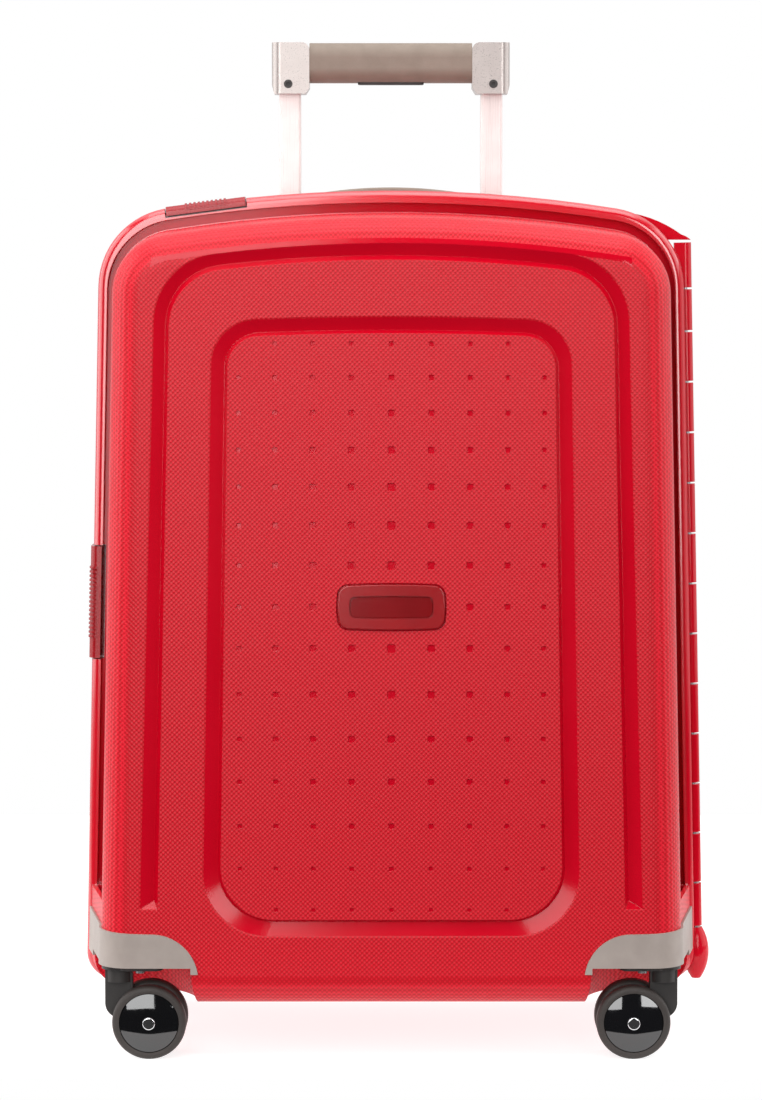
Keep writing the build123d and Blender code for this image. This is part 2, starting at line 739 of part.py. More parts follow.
def handle_screws():
    """The two screws through the end caps."""
    face = TROLLEY_Y - GRIP_DEPTH / 2 - 0.6
    screw = rod(2.85, -0.2, 1.8) + rod(1.4, 1.8, 3.4)
    screw -= rod(1.3, -0.4, 1.2)
    turned = Rot(-90, 0, 0) * screw
    return [Pos(side * 68, face, 619.4) * turned for side in (-1, 1)]


# ---- lid fittings --------------------------------------------------------------------

BADGE_Z = 287.0
BADGE_SIZE = 67.0, 28.4
BADGE_WINDOW = 52.8, 14.6
BADGE_GAP = 0.7             # shadow line round the plate
BADGE_SINK = 2.0            # how deep the surround is let into the lid
FRAME_PROUD, PLATE_PROUD = 1.6, 0.6
DOT_SIZES = (5.4, 4.7, 4.3, 3.7, 3.0)
DOT_LEAST = 2.4
DOT_DEPTH = 0.45
DOT_ROWS = (96, 122, 149, 177, 204, 232, 261, 287, 313, 338, 362, 385, 408, 430, 451)


def barrel(width, height, bulge, radius):
    """A rectangle whose sides bow outwards."""
    x, z = width / 2 - bulge, height / 2 - bulge * 0.6
    face = make_face(
        [
            ThreePointArc((-x, -z), (0, -height / 2), (x, -z)),
            ThreePointArc((x, -z), (width / 2, 0), (x, z)),
            ThreePointArc((x, z), (0, height / 2), (-x, z)),
            ThreePointArc((-x, z), (-width / 2, 0), (-x, -z)),
        ]
    )
    return Pos(0, BADGE_Z) * fillet(face.vertices(), radius)


def badge_frame():
    """The oval-sided surround of the badge."""
    front = -LID_DEPTH - FRAME_PROUD
    solid = slab(barrel(*BADGE_SIZE, 1.6, 6.5), front, -LID_DEPTH + BADGE_SINK)
    solid = fillet(solid.faces().sort_by(Axis.Y)[0].edges(), 0.8)
    return solid - slab(barrel(*BADGE_WINDOW, 0.8, 3.5), front - 1, -LID_DEPTH + 0.4)


def badge_plate():
    """The plain plate let into the surround."""
    width, height = (size - 2 * BADGE_GAP for size in BADGE_WINDOW)
    plate = slab(barrel(width, height, 0.8, 2.8), -LID_DEPTH - PLATE_PROUD, -LID_DEPTH + 0.4)
    return fillet(plate.faces().sort_by(Axis.Y)[0].edges(), 0.3)


def dots():
    """The field of small square dimples, smaller towards the sides, the top and the bottom."""
    cuts = []
    for z in DOT_ROWS:
        fade = max(0.0, 1 - ((z - 290) / 180) ** 2)
        for column in range(-4, 5):
            n = abs(column)
            if (n == 4 and z in (DOT_ROWS[0], DOT_ROWS[-1])) or (n < 2 and abs(z - BADGE_Z) < 5):
                continue
            size = DOT_LEAST + (DOT_SIZES[n] - DOT_LEAST) * fade
            x = math.copysign(25.2 * n - 0.36 * n * n, column)
            cuts.append(Pos(x, z) * RectangleRounded(size, size, size * 0.22))
    return [slab(cut, -LID_DEPTH - 1, -LID_DEPTH + DOT_DEPTH) for cut in cuts]


def guard_outline(side):
    """Front view of a corner guard: level top, swept down to its inner foot."""
    low, high = 55.0, 80.5
    inner = 121.7
    face = make_face(
        [
            Line((inner, low), (210, low)),
            Line((210, low), (210, high + 4)),
            ThreePointArc((210, high + 4), (180, high + 1.2), (inner + 28, high)),
            ThreePointArc((inner + 28, high), (inner + 9.5, high - 7.5), (inner, low)),
        ]
    )
    return face if side > 0 else mirror(face, Plane.YZ)


def corner_guard(side):
    """A wrap-round bumper let into the lid's lower corner."""
    shape = half_body(-1, LID_DEPTH, 1.4) - half_body(-1, LID_DEPTH, -1.5)
    shape &= slab(guard_outline(side), -120, -RIM_DEPTH)
    shape -= wells("front")
    return shape.solids().sort_by(SortBy.VOLUME)[-1]


def panel_sheet(inset, half, y, thick, low, high):
    """A fabric-covered board that fits inside a half."""
    sketch = case_outline(inset, inset, 0, 20)
    board = slab(sketch, y, y + thick) & block((-half, half), (-200, 200), (low, high))
    return fillet(board.edges().filter_by(Axis.Y).sort_by(Axis.Z)[:2], 12)


def strap(way):
    """One of the two crossed luggage straps."""
    low, high = (-158 * way, 110), (152 * way, 455)
    length = math.dist(low, high)
    angle = math.degrees(math.atan2(high[1] - low[1], high[0] - low[0]))
    y = 17.0 if way > 0 else 15.2
    sketch = Pos(0, 285) * Rot(0, 0, angle) * Rectangle(length, 25)
    return slab(sketch, y, y + 1.4)


def buckle():
    """The clip where the two straps meet."""
    sketch = Pos(0, 285) * RectangleRounded(44, 34, 7)
    solid = slab(sketch, 9.5, 14.8)
    return fillet(solid.faces().sort_by(Axis.Y)[0].edges(), 1.8)


# ---- assembly of the two halves ------------------------------------------------------


def all_castor_screws(row):
    """The castor screws of one half."""
    return [
        castor_place(row, x) * screw for x in (-CASTOR_X, CASTOR_X) for screw in castor_screws()
    ]


def open_for_castors(shell, row):
    """Cuts the socket and screw holes into the roofs of the wells."""
    for x in (-CASTOR_X, CASTOR_X):
        shell -= castor_place(row, x) * rod(SOCKET_RADIUS, WELL_TOP - 1, WELL_TOP + 20)
    for screw in all_castor_screws(row):
        shell -= screw
    return shell


def front_shell(guards):
    """The lid."""
    shell = tray(-1, LID_DEPTH, "front", (outer_channel, inner_channel))
    shell -= hinge_reliefs()
    for name in LATCHES:
        shell -= latch_notch(name)
    edges = knuckle_edges()
    for low, high in zip(edges[1:-1:2], edges[2:-1:2]):
        shell += knuckle(-1, low, high)
    shell += knuckle(-1, HINGE_HIGH, HEAD_TOP)
    shell += hinge_foot()
    shell -= pin_hole(PIN_RADIUS + RUNNING)
    shell = open_for_castors(shell, "front")
    recess = barrel(BADGE_SIZE[0] + 1.8, BADGE_SIZE[1] + 1.8, 1.6, 7.3)
    shell -= slab(recess, -200, -LID_DEPTH + BADGE_SINK)
    for guard in guards:
        shell -= guard
    shell -= dots()
    return shell


def rear_shell():
    """The deeper half, which carries the trolley."""
    shell = tray(1, REAR_DEPTH, "rear", (outer_channel,))
    shell += rear_corner()
    shell -= hinge_reliefs()
    for name in LATCHES:
        shell -= latch_notch(name)
        shell -= latch_pin(name)
    edges = knuckle_edges()
    for low, high in zip(edges[:-1:2], edges[1::2]):
        shell += knuckle(1, low, high)
    shell -= pin_hole(PIN_RADIUS)
    shell = open_for_castors(shell, "rear")
    shell -= pocket(2, POCKET_FLOOR - 4)
    shell -= top_handle_frame() * handle_slots()
    shell -= side_handle_frame() * handle_slots()
    window = block((-LOCK_HALF, LOCK_HALF), (-11, 11), (-30, 12))
    shell -= lock_frame() * fillet(window.edges().filter_by(Axis.Z), 4)
    return shell


def build_castors():
    """The moving parts of all four castors."""
    for row in CASTOR_Y:
        for label, x in (("left", -CASTOR_X), ("right", CASTOR_X)):
            turned = castor_turned(row, x)
            name = f"{row}_{label}"
            write(castor_place(row, x) * castor_base(), f"{name}_castor_base")
            write(turned * castor_fork(), f"{name}_fork")
            write(turned * castor_axle(), f"{name}_axle")
            write(turned * twin(hub_section()), f"{name}_hubs")
            write(turned * twin(tyre_section()), f"{name}_tyres")


def build_trolley():
    """The telescopic handle and what it slides in."""
    for label, side in (("left", -1), ("right", 1)):
        write(tube_solid(2, side, TUBE_LOW, TUBE_HIGH - 2), f"outer_tube_{label}")
        write(tube_solid(1, side, TUBE_LOW + 15, TUBE_HIGH + 1), f"middle_tube_{label}")
        write(tube_solid(0, side, 175, 636), f"inner_tube_{label}")
        write(end_cap(side), f"end_cap_{label}")
    write(trolley_bezel(pocket(3.5, 500)), "trolley_bezel")
    write(trolley_foot(), "trolley_foot")
    write(grip_core(), "grip_core")
    write(grip_sleeve(), "grip_sleeve")
    write(release_button(), "release_button")
    write(Compound(handle_screws()), "handle_screws")


def build_lid():
    """The lid and what is fixed to it."""
    guards = [corner_guard(side) for side in (-1, 1)]
    write(front_shell(guards), "front_shell")
    write(guards[0], "corner_guard_left")
    write(guards[1], "corner_guard_right")
    write(badge_frame(), "badge_frame")
    write(badge_plate(), "badge_plate")
    write(Compound(all_castor_screws("front")), "front_castor_screws")
    write(panel_sheet(31, 200, -91.0, 1.4, 78, 508), "front_lining")
    write(panel_sheet(20, 200, -9.0, 3.0, 72, 518), "divider")


def build_rear():
    """The rear half, its lock, latches, carry handles and lining."""
    write(rear_shell(), "rear_shell")
    write(pin_hole(PIN_RADIUS), "hinge_pin")
    write(Compound(all_castor_screws("rear")), "rear_castor_screws")
    for name in LATCHES:
        write(latch_lever(name), name)
    spindle = lock_frame() * lock_spindle()
    write(Compound([latch_pin(name) for name in LATCHES] + [spindle]), "latch_pins")
    write(lock_frame() * lock_housing() - spindle, "lock_case")
    for i, step in enumerate(DIAL_STEPS):
        write(dial(step), f"lock_dial_{i + 1}")
    write(top_handle_frame() * carry_handle(TOP_SAG), "top_handle")
    write(side_handle_frame() * carry_handle(SIDE_SAG), "side_handle")
    write(panel_sheet(21, 150, 64.5, 3.0, 72, 506), "rear_lining")
    write(strap(1), "strap_left")
    write(strap(-1), "strap_right")
    write(buckle(), "strap_buckle")


os.makedirs("parts", exist_ok=True)
build_castors()
build_trolley()
build_lid()
build_rear()
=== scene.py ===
import math

import bpy
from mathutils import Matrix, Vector


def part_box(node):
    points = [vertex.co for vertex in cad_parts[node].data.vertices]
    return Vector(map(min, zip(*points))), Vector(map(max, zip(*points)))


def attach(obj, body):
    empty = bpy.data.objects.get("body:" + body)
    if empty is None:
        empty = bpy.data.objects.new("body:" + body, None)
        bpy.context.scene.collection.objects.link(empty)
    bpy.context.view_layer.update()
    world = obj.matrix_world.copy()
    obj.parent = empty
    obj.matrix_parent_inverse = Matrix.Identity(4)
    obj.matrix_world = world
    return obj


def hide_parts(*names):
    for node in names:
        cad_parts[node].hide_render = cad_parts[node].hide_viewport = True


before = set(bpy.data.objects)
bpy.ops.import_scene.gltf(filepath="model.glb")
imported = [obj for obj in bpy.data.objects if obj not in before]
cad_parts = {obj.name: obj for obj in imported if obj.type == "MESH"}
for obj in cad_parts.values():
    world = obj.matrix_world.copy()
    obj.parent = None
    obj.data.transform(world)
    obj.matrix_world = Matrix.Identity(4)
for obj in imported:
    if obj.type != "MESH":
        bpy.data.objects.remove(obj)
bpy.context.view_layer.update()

# ---- places taken from the frame, in metres -----------------------------------------
LID_FACE = -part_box("front_shell")[0].y     # depth of the lid's flat face
REAR_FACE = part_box("rear_shell")[1].y
CASE_X = (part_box("badge_frame")[0].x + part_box("badge_frame")[1].x) / 2
CROWN = 0.92                               # radius of the crowned top
FLARE = 0.023                              # lean of the sides
HINGE_EDGE = 0.1964                        # where the hinge begins, at floor height

# ---- camera --------------------------------------------------------------------------
CAMERA_X = CASE_X - 0.0065
CAMERA_DISTANCE, CAMERA_HEIGHT = 2.3, 0.5
CAMERA_TILT = math.radians(4.6)
LENS, SENSOR = 116.1, 36

# ---- light and floor -----------------------------------------------------------------
CASE_MIDDLE = (0, 0, 0.3)
SOFTBOXES = {
    # name: place, width and height, watts, point that it faces
    "left_softbox": ((-0.67, -2.1, 1.11), (1.1, 2.4), 37, (-0.67, 0, 0.147)),
    "right_softbox": ((0.95, -2.4, 0.8), (0.7, 1.4), 17, (0.95, 0, 0.3)),
    "left_wall": ((-1.6, -0.2, 0.9), (1.6, 1.8), 20, CASE_MIDDLE),
    "right_wall": ((1.6, -0.2, 0.9), (1.6, 1.8), 14, CASE_MIDDLE),
    "overhead": ((0, -0.4, 2.0), (1.8, 1.2), 15, CASE_MIDDLE),
}
CEILING_STRENGTH, CEILING_SPREAD = 0.7, math.radians(70)
STUDIO_FRONT, STUDIO_BACK = 0.04, 0.9      # brightness behind the camera and behind the case
STUDIO_FADE = 0.25                         # y of a direction at which one has turned into the other
FLOOR_REACH, FLOOR_FRONT = 0.9, 0.145
FLOOR_GLOW = 0.8
FLOOR_GREYS = (168, 167, 166), (174, 173, 172)

# ---- the shells' red, with depths in metres ------------------------------------------
WEAVE_PERIOD, WEAVE_DEPTH = 0.0021, 0.00004
EDGE_ROUNDING = 0.0007
SMOOTH_DEPTH = 0.0003                      # anything pressed in deeper than this is glossy
BEAD, BEAD_FULL = 0.0075, 0.0095           # the rim's gloss sets in between these depths
WALL_START, WALL_FULL = 0.0128, 0.016      # and the weave between these
CHANNEL_REACH, CHANNEL_LEAN = 0.1634, 0.0287
CHANNEL_LOW, CHANNEL_TOP = 0.072, 0.5165
SMOOTH_REDS = (197, 3, 30), (203, 8, 34)
WOVEN_REDS = (189, 7, 25), (226, 26, 46)
SMOOTH_ROUGHNESS, WOVEN_ROUGHNESS, ROUGHNESS_SPOTS = 0.13, 0.39, 0.08
PLAIN_SPECULAR, RIM_SPECULAR = 0.3, 0.8

# ---- cloth, in metres ----------------------------------------------------------------
CLOTH_THICKNESS, CLOTH_THREAD = 0.0008, 0.0011
PANEL_CORNER = 0.02
PUCKER, SIDE_PUCKERS, END_PUCKERS = 0.0006, 46, 60
WAVES_ACROSS, WAVES_UP = 11, 14            # radians per half width and per height of a panel
STRAP_WIDTH, STRAP_THICKNESS, STRAP_THREAD = 0.025, 0.0012, 0.0016
STRAP_INSET, STRAP_SAG = 0.012, 0.0002
LININGS = {
    # piece: CAD board, height of the cloth's waves, body, shell that it rests on
    "lid_lining_cloth": ("front_lining", 0.0, "lid", "front_shell"),
    "divider_cloth": ("divider", 0.0006, "lid", "front_shell"),
    "rear_lining_cloth": ("rear_lining", 0.0006, "rear", "rear_shell"),
}
STRAPS = {
    # piece: CAD strap, and whether it rises towards +X
    "strap_left_band": ("strap_left", True),
    "strap_right_band": ("strap_right", False),
}

# ---- finishes ------------------------------------------------------------------------
METAL_GRAIN, METAL_RELIEF = 1500, 0.0000008
EVEN = (1, 1, 1)
PLASTICS = {
    # finish: material, two close colours, roughness, grain in cells per metre, relief
    "trim": ("trim_red", (148, 8, 20), (158, 12, 26), (0.2, 0.3), 600, 0.00002),
    "badge": ("badge_red", (150, 20, 26), (162, 26, 30), (0.13, 0.2), 700, 0.000004),
    "plate": ("plate_red", (128, 8, 14), (138, 12, 18), (0.1, 0.16), 700, 0.000003),
    "guard": ("guard_taupe", (156, 144, 137), (167, 155, 148), (0.42, 0.58), 1400, 0.00004),
    "rubber": ("grip_taupe", (134, 120, 108), (145, 130, 118), (0.55, 0.75), 1600, 0.00005),
    "black": ("nylon_black", (38, 35, 34), (50, 46, 44), (0.4, 0.55), 900, 0.00003),
    "tyre": ("tyre_rubber", (44, 38, 35), (52, 45, 42), (0.5, 0.68), 1200, 0.00004),
    "dial": ("dial_plastic", (186, 182, 176), (200, 197, 190), (0.35, 0.5), 900, 0.00002),
}
METALS = {
    # finish: material, two close colours, roughness, stretch of the grain, metallic share
    "cap": ("cap_silver", (180, 173, 169), (188, 181, 177), (0.27, 0.33), EVEN, 0.45),
    "tube": ("tube_aluminium", (230, 221, 218), (237, 229, 226), (0.25, 0.4), (3, 3, 0.02), 0.12),
    "steel": ("plain_steel", (150, 150, 152), (172, 172, 174), (0.25, 0.4), EVEN, 1.0),
    "chrome": ("rivet_chrome", (226, 226, 228), (236, 236, 238), (0.06, 0.12), EVEN, 1.0),
}
NODES_BY_FINISH = {
    "lid": ["front_shell"],
    "rear": ["rear_shell"],
    "trim": ["top_latch", "side_latch", "bottom_latch"],
    "badge": ["badge_frame"],
    "plate": ["badge_plate"],
    "guard": ["corner_guard_left", "corner_guard_right"],
    "rubber": ["grip_sleeve", "top_handle", "side_handle"],
    "cap": ["end_cap_left", "end_cap_right"],
    "tube": [
        f"{stage}_tube_{side}"
        for stage in ("inner", "middle", "outer")
        for side in ("left", "right")
    ],
    "steel": ["hinge_pin", "latch_pins", "front_castor_screws", "rear_castor_screws"],
    "black": [
        "trolley_bezel",
        "trolley_foot",
        "grip_core",
        "release_button",
        "lock_case",
        "strap_buckle",
        "handle_screws",
    ],
    "dial": ["lock_dial_1", "lock_dial_2", "lock_dial_3"],
}
CASTOR_FINISHES = {
    "castor_base": "black",
    "fork": "black",
    "axle": "chrome",
    "hubs": "hub",
    "tyres": "tyre",
}


def new_object(name, data):
    """An object in the scene, made of the data given."""
    made = bpy.data.objects.new(name, data)
    bpy.context.scene.collection.objects.link(made)
    return made


# ---- node helpers --------------------------------------------------------------------


def connect(tree, value, socket):
    """Gives a socket a plain value, or links another node's output to it."""
    if isinstance(value, bpy.types.NodeSocket):
        tree.links.new(value, socket)
    else:
        socket.default_value = value


def add(tree, kind, inputs=None, **settings):
    """Adds a node; each input is a plain value or another node's output."""
    made = tree.nodes.new(kind)
    for key, value in settings.items():
        setattr(made, key, value)
    for key, value in (inputs or {}).items():
        connect(tree, value, made.inputs[key])
    return made


def calc(tree, operation, *values):
    """A Math node's result."""
    return add(tree, "ShaderNodeMath", dict(enumerate(values)), operation=operation).outputs[0]


def absolute(tree, value):
    """A value without its sign."""
    return calc(tree, "ABSOLUTE", value)


def ramp(tree, value, low, high, start=0.0, end=1.0):
    """The value carried smoothly from one range to another and held at its ends."""
    inputs = {"Value": value, "From Min": low, "From Max": high, "To Min": start, "To Max": end}
    made = add(tree, "ShaderNodeMapRange", inputs, interpolation_type="SMOOTHSTEP")
    return made.outputs["Result"]


def blend_colours(tree, share, first, second):
    """Two colours mixed by a share."""
    mix = tree.nodes.new("ShaderNodeMix")
    mix.data_type = "RGBA"
    for socket, value in ((0, share), (6, first), (7, second)):
        connect(tree, value, mix.inputs[socket])
    return mix.outputs[2]


def linear(red, green, blue):
    """An sRGB colour of 0 to 255 as the shader wants it."""
    parts = [c / 255 for c in (red, green, blue)]
    parts = [c / 12.92 if c <= 0.04045 else ((c + 0.055) / 1.055) ** 2.4 for c in parts]
    return (*parts, 1.0)


def tint(tree, share, first, second):
    """Two sRGB colours of 0 to 255 mixed by a share."""
    return blend_colours(tree, share, linear(*first), linear(*second))


def own_place(tree):
    """The shaded point in the object's own coordinates."""
    return add(tree, "ShaderNodeTexCoord").outputs["Object"]


def own_axes(tree):
    """The shaded point's x, y and z in the object's own coordinates."""
    return add(tree, "ShaderNodeSeparateXYZ", {0: own_place(tree)}).outputs


def noise(tree, scale, stretch=EVEN):
    """Noise over the object's own coordinates, scale in cells per metre."""
    mapping = add(tree, "ShaderNodeMapping", {"Vector": own_place(tree), "Scale": stretch})
    inputs = {"Vector": mapping.outputs[0], "Scale": scale, "Detail": 3.0}
    return add(tree, "ShaderNodeTexNoise", inputs).outputs["Fac"]


def new_material(name, **sockets):
    """An empty material; the sockets given are the same all over its surface."""
    material = bpy.data.materials.new(name)
    material.use_nodes = True
    tree = material.node_tree
    shader = next(n for n in tree.nodes if n.type == "BSDF_PRINCIPLED")
    for key, value in sockets.items():
        shader.inputs[key.replace("_", " ")].default_value = value
    return material, tree, shader


def relief(tree, shader, height, distance, edge=0.0):
    """Bump from a height, over edges that catch the light as if slightly rounded."""
    inputs = {"Height": height, "Distance": distance, "Strength": 1.0}
    if edge:
        inputs["Normal"] = add(tree, "ShaderNodeBevel", {"Radius": edge}, samples=4).outputs[0]
    tree.links.new(add(tree, "ShaderNodeBump", inputs).outputs[0], shader.inputs["Normal"])


# ---- materials -----------------------------------------------------------------------


def surface(name, colour, other, roughness, grain, depth, stretch=EVEN, **sockets):
    """A finish of two close colours, uneven roughness and fine relief."""
    material, tree, shader = new_material(name, **sockets)
    cloud = ramp(tree, noise(tree, grain * 0.06), 0.15, 0.85)
    fine = noise(tree, grain, stretch)
    tree.links.new(tint(tree, cloud, colour, other), shader.inputs["Base Color"])
    tree.links.new(ramp(tree, fine, 0.3, 0.7, *roughness), shader.inputs["Roughness"])
    relief(tree, shader, fine, depth)
    return material


def metal(name, colour, other, roughness, stretch, metallic):
    """Brushed or satin metal; anodised metal is only partly metallic."""
    return surface(
        name, colour, other, roughness, METAL_GRAIN, METAL_RELIEF, stretch, Metallic=metallic
    )


def hub_gloss(name):
    """The polished black of the wheel hubs."""
    return surface(
        name,
        (8, 8, 10),
        (12, 12, 15),
        (0.04, 0.07),
        300,
        0.000002,
        Specular_IOR_Level=0.9,
        Coat_Weight=0.6,
    )


def inside_channels(tree, across, z):
    """1 within the outline of a face's outer channel: its sides lean and its top is crowned."""
    side = absolute(tree, across)
    limit = calc(tree, "SUBTRACT", CHANNEL_REACH, calc(tree, "MULTIPLY", z, CHANNEL_LEAN))
    fall = calc(tree, "MULTIPLY", calc(tree, "MULTIPLY", side, side), 0.5 / CROWN)
    crown = calc(tree, "SUBTRACT", CHANNEL_TOP, fall)
    inside = calc(tree, "LESS_THAN", side, limit)
    inside = calc(tree, "MULTIPLY", inside, calc(tree, "LESS_THAN", z, crown))
    return calc(tree, "MULTIPLY", inside, calc(tree, "GREATER_THAN", z, CHANNEL_LOW))


def shell_masks(tree, x, y, z, face):
    """Two masks: 1 where a shell is woven, and 1 on the bead of its rim."""
    across = calc(tree, "SUBTRACT", x, CASE_X)
    depth = absolute(tree, y)
    sunk = calc(tree, "LESS_THAN", depth, face - SMOOTH_DEPTH)
    pressed = calc(tree, "MULTIPLY", inside_channels(tree, across, z), sunk)
    wall = ramp(tree, depth, WALL_START, WALL_FULL)
    woven = calc(tree, "MULTIPLY", wall, calc(tree, "SUBTRACT", 1.0, pressed))
    bead = ramp(tree, depth, BEAD, BEAD_FULL)
    rim = calc(tree, "MULTIPLY", bead, calc(tree, "SUBTRACT", 1.0, wall))
    hinge_edge = calc(tree, "SUBTRACT", HINGE_EDGE, calc(tree, "MULTIPLY", z, FLARE))
    return woven, calc(tree, "MULTIPLY", rim, calc(tree, "LESS_THAN", across, hinge_edge))


def diamond_weave(tree, x, y, z):
    """Waves that cross at 45 degrees on the faces, from -3 to 3."""
    rising = calc(tree, "MULTIPLY", calc(tree, "ADD", x, z), math.sqrt(0.5))
    falling = calc(tree, "MULTIPLY", calc(tree, "SUBTRACT", x, z), math.sqrt(0.5))
    turn = 2 * math.pi / WEAVE_PERIOD
    waves = []
    for way in (rising, falling, y):
        waves.append(calc(tree, "COSINE", calc(tree, "MULTIPLY", way, turn)))
    return calc(tree, "ADD", calc(tree, "ADD", waves[0], waves[1]), waves[2])


def shell_red(name, face):
    """Moulded red plastic: a fine diamond weave on the fields, gloss in channels and on rims."""
    material, tree, shader = new_material(name, Coat_Roughness=0.2)
    x, y, z = own_axes(tree)
    weave = diamond_weave(tree, x, y, z)
    woven, rim = shell_masks(tree, x, y, z, face)
    gloss = ramp(tree, rim, 0, 1, PLAIN_SPECULAR, RIM_SPECULAR)
    tree.links.new(gloss, shader.inputs["Specular IOR Level"])
    tree.links.new(rim, shader.inputs["Coat Weight"])
    smooth_red = tint(tree, ramp(tree, noise(tree, 9), 0.3, 0.7), *SMOOTH_REDS)
    woven_red = tint(tree, ramp(tree, weave, -1.5, 1.5), *WOVEN_REDS)
    red = blend_colours(tree, woven, smooth_red, woven_red)
    tree.links.new(red, shader.inputs["Base Color"])
    rise = calc(tree, "MULTIPLY", woven, WOVEN_ROUGHNESS - SMOOTH_ROUGHNESS)
    rough = calc(tree, "ADD", rise, SMOOTH_ROUGHNESS)
    spots = calc(tree, "SUBTRACT", noise(tree, 260), 0.5)
    spots = calc(tree, "MULTIPLY", spots, ROUGHNESS_SPOTS)
    tree.links.new(calc(tree, "ADD", rough, spots), shader.inputs["Roughness"])
    height = calc(tree, "MULTIPLY", weave, woven)
    relief(tree, shader, height, WEAVE_DEPTH, edge=EDGE_ROUNDING)
    return material


def fabric(name, dark, light, thread):
    """Plain-woven cloth or webbing: threads cross at right angles."""
    material, tree, shader = new_material(name, Sheen_Weight=0.4, Sheen_Roughness=0.5)
    x, _, z = own_axes(tree)
    turn = 2 * math.pi / thread
    warp = calc(tree, "SINE", calc(tree, "MULTIPLY", x, turn))
    weft = calc(tree, "SINE", calc(tree, "MULTIPLY", z, turn))
    fuzz = calc(tree, "MULTIPLY", noise(tree, 400), 0.8)
    uneven = calc(tree, "ADD", calc(tree, "MULTIPLY", warp, weft), fuzz)
    grey = tint(tree, ramp(tree, uneven, -0.6, 1.4), dark, light)
    tree.links.new(grey, shader.inputs["Base Color"])
    tree.links.new(ramp(tree, uneven, -1, 1, 0.95, 0.75), shader.inputs["Roughness"])
    relief(tree, shader, uneven, 0.0001)
    return material


def make_materials():
    """Every finish by its name."""
    made = {
        "lid": shell_red("lid_red", LID_FACE),
        "rear": shell_red("rear_red", REAR_FACE),
        "hub": hub_gloss("hub_gloss"),
        "lining": fabric("lining_cloth", (64, 60, 62), (96, 91, 92), CLOTH_THREAD),
        "strap": fabric("strap_webbing", (38, 38, 42), (74, 74, 80), STRAP_THREAD),
    }
    for finish, look in PLASTICS.items():
        made[finish] = surface(*look)
    for finish, look in METALS.items():
        made[finish] = metal(*look)
    return made


def dress(obj, material):
    """Puts one material on an object."""
    obj.data.materials.clear()
    obj.data.materials.append(material)


def paint(materials):
    """Gives every carried-over CAD node its finish."""
    for finish, nodes in NODES_BY_FINISH.items():
        for node in nodes:
            dress(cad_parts[node], materials[finish])
    for row in ("front", "rear"):
        for side in ("left", "right"):
            for piece, finish in CASTOR_FINISHES.items():
                dress(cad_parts[f"{row}_{side}_{piece}"], materials[finish])


# ---- cloth inside the case -----------------------------------------------------------


def grid_sheet(name, points, columns, rows, thickness, material):
    """A sheet of cloth over rows of points."""
    faces = []
    for j in range(rows):
        for i in range(columns):
            first = j * (columns + 1) + i
            faces.append((first, first + 1, first + columns + 2, first + columns + 1))
    mesh = bpy.data.meshes.new(name)
    mesh.from_pydata(points, [], faces)
    mesh.shade_smooth()
    piece = new_object(name, mesh)
    solidify = piece.modifiers.new("thickness", "SOLIDIFY")
    solidify.thickness = thickness
    solidify.offset = 0
    dress(piece, material)
    return piece


def panel_half(low, high, height):
    """Half the width of a lining panel at a height, with its corners rounded."""
    half = (high.x - low.x) / 2 - FLARE * (height - low.z)
    near = min(height - low.z, high.z - height)
    if near < PANEL_CORNER:
        rest = max(PANEL_CORNER**2 - (PANEL_CORNER - near) ** 2, 0.0)
        half -= PANEL_CORNER - math.sqrt(rest)
    return half


def pucker(u, v):
    """How far cloth stands off near its edges; u runs from -1 to 1 across, v from 0 to 1 up."""
    at_sides = math.sin(SIDE_PUCKERS * u + 3 * v) * abs(u) ** 6
    at_ends = math.sin(END_PUCKERS * v) * abs(2 * v - 1) ** 8
    return PUCKER * (at_sides + at_ends)


def cloth_panel(name, node, puff, material):
    """A stretched lining sheet that stands for a CAD board, softly puckered towards its edge."""
    columns, rows = 72, 96
    low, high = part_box(node)
    middle_x, middle_y = (low.x + high.x) / 2, (low.y + high.y) / 2
    points = []
    for j in range(rows + 1):
        v = j / rows
        height = low.z + (high.z - low.z) * v
        half = panel_half(low, high, height)
        for i in range(columns + 1):
            u = 2 * i / columns - 1
            wave = puff * math.cos(WAVES_ACROSS * u) * math.cos(WAVES_UP * v)
            points.append((middle_x + u * half, middle_y + pucker(u, v) + wave, height))
    return grid_sheet(name, points, columns, rows, CLOTH_THICKNESS, material)


def strap_band(name, node, rises, material):
    """A flat luggage strap lying across the case, and its length."""
    ribs, steps = 8, 80
    low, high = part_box(node)
    run_x, run_z = high.x - low.x, high.z - low.z
    whole = math.hypot(run_x, run_z)
    along_x, along_z = (run_x if rises else -run_x) / whole, run_z / whole
    start_x = low.x if rises else high.x
    length = whole - 2 * STRAP_INSET
    points = []
    for j in range(steps + 1):
        reach = STRAP_INSET + length * j / steps
        y = (low.y + high.y) / 2 + STRAP_SAG * math.sin(math.pi * j / steps)
        for i in range(ribs + 1):
            aside = STRAP_WIDTH * (i / ribs - 0.5)
            x = start_x + along_x * reach - along_z * aside
            points.append((x, y, low.z + along_z * reach + along_x * aside))
    return grid_sheet(name, points, ribs, steps, STRAP_THICKNESS, material), length


def build_cloth(materials):
    """The linings, the divider and the straps."""
    for name, (node, puff, body, shell) in LININGS.items():
        piece = cloth_panel(name, node, puff, materials["lining"])
        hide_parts(node)
        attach(piece, body)
    for name, (node, rises) in STRAPS.items():
        piece, length = strap_band(name, node, rises, materials["strap"])
        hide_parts(node)
        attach(piece, "rear")


# ---- studio --------------------------------------------------------------------------


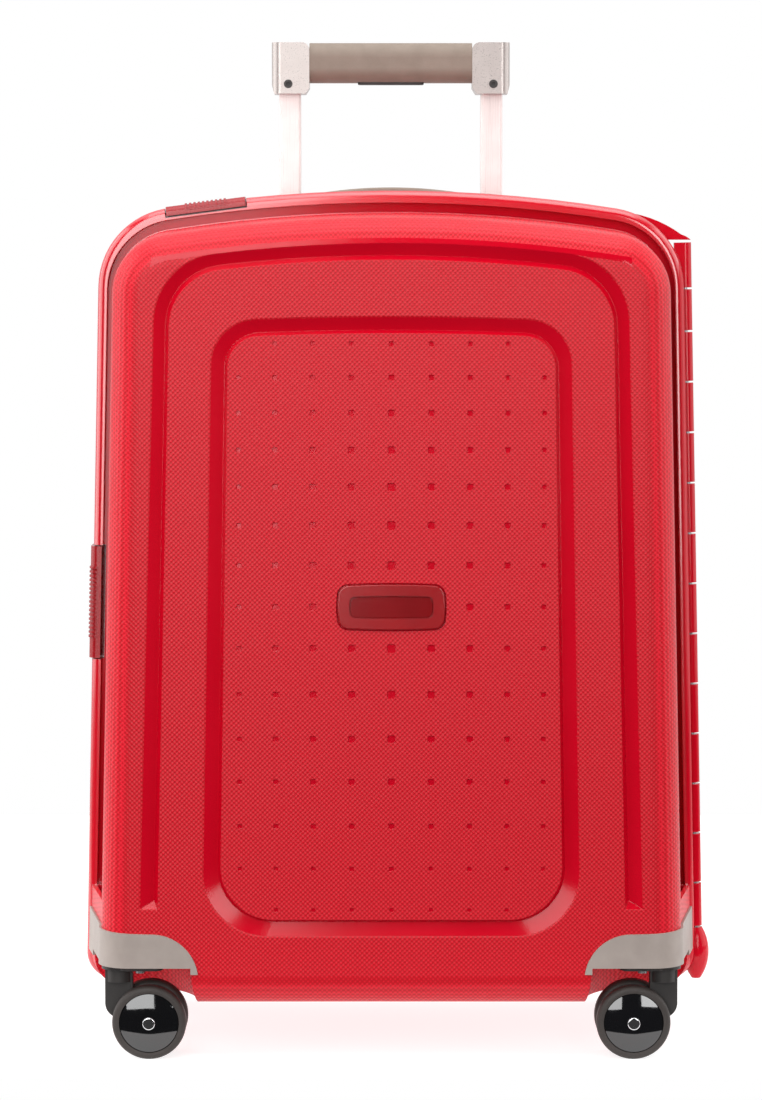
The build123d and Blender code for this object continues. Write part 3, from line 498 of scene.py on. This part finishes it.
def make_camera():
    """The camera at the view of a shopper who stands in front of the case."""
    data = bpy.data.cameras.new("camera")
    data.lens = LENS
    data.sensor_width = SENSOR
    data.clip_end = 60
    camera = new_object("camera", data)
    camera.location = (CAMERA_X, -CAMERA_DISTANCE, CAMERA_HEIGHT)
    camera.rotation_euler = (math.pi / 2 - CAMERA_TILT, 0, 0)
    bpy.context.scene.camera = camera


def softbox(name, place, size, power, target):
    """A rectangular area light turned to a point."""
    data = bpy.data.lights.new(name, "AREA")
    data.shape = "RECTANGLE"
    data.size, data.size_y = size
    data.energy = power
    light = new_object(name, data)
    light.location = place
    aim = Vector(target) - Vector(place)
    light.rotation_euler = aim.to_track_quat("-Z", "Y").to_euler()


def ceiling_light():
    """Soft light from straight above, the same over the whole floor."""
    data = bpy.data.lights.new("ceiling", "SUN")
    data.energy = CEILING_STRENGTH
    data.angle = CEILING_SPREAD
    new_object("ceiling", data)


def make_floor():
    """A pale table top, too short in front of the case to be mirrored in its upright faces."""
    near, far = -FLOOR_FRONT, FLOOR_REACH
    mesh = bpy.data.meshes.new("floor")
    corners = [(-far, near, 0), (far, near, 0), (far, far, 0), (-far, far, 0)]
    mesh.from_pydata(corners, [], [(0, 1, 2, 3)])
    floor = new_object("floor", mesh)
    material, tree, shader = new_material(
        "floor_white",
        Roughness=0.9,
        Specular_IOR_Level=0.1,
        Emission_Color=(1, 1, 1, 1),
        Emission_Strength=FLOOR_GLOW,
    )
    tree.links.new(tint(tree, noise(tree, 2), *FLOOR_GREYS), shader.inputs["Base Color"])
    dress(floor, material)


def make_world():
    """A white studio: bright behind and beside the case, dim behind the camera."""
    world = bpy.data.worlds.new("studio")
    world.use_nodes = True
    tree = world.node_tree
    tree.nodes.clear()
    direction = add(tree, "ShaderNodeTexCoord").outputs["Generated"]
    y = add(tree, "ShaderNodeSeparateXYZ", {0: direction}).outputs[1]
    surround = ramp(tree, y, -STUDIO_FADE, STUDIO_FADE, STUDIO_FRONT, STUDIO_BACK)
    seen = add(tree, "ShaderNodeLightPath").outputs["Is Camera Ray"]
    strength = calc(tree, "MAXIMUM", seen, surround)
    back = add(tree, "ShaderNodeBackground", {"Color": (1, 1, 1, 1), "Strength": strength})
    out = add(tree, "ShaderNodeOutputWorld")
    tree.links.new(back.outputs[0], out.inputs[0])
    bpy.context.scene.world = world


def make_studio():
    """Camera, lights, floor and backdrop."""
    bpy.context.scene.view_settings.view_transform = "Standard"
    make_camera()
    make_world()
    make_floor()
    for name, settings in SOFTBOXES.items():
        softbox(name, *settings)
    ceiling_light()


make_studio()
finishes = make_materials()
paint(finishes)
build_cloth(finishes)
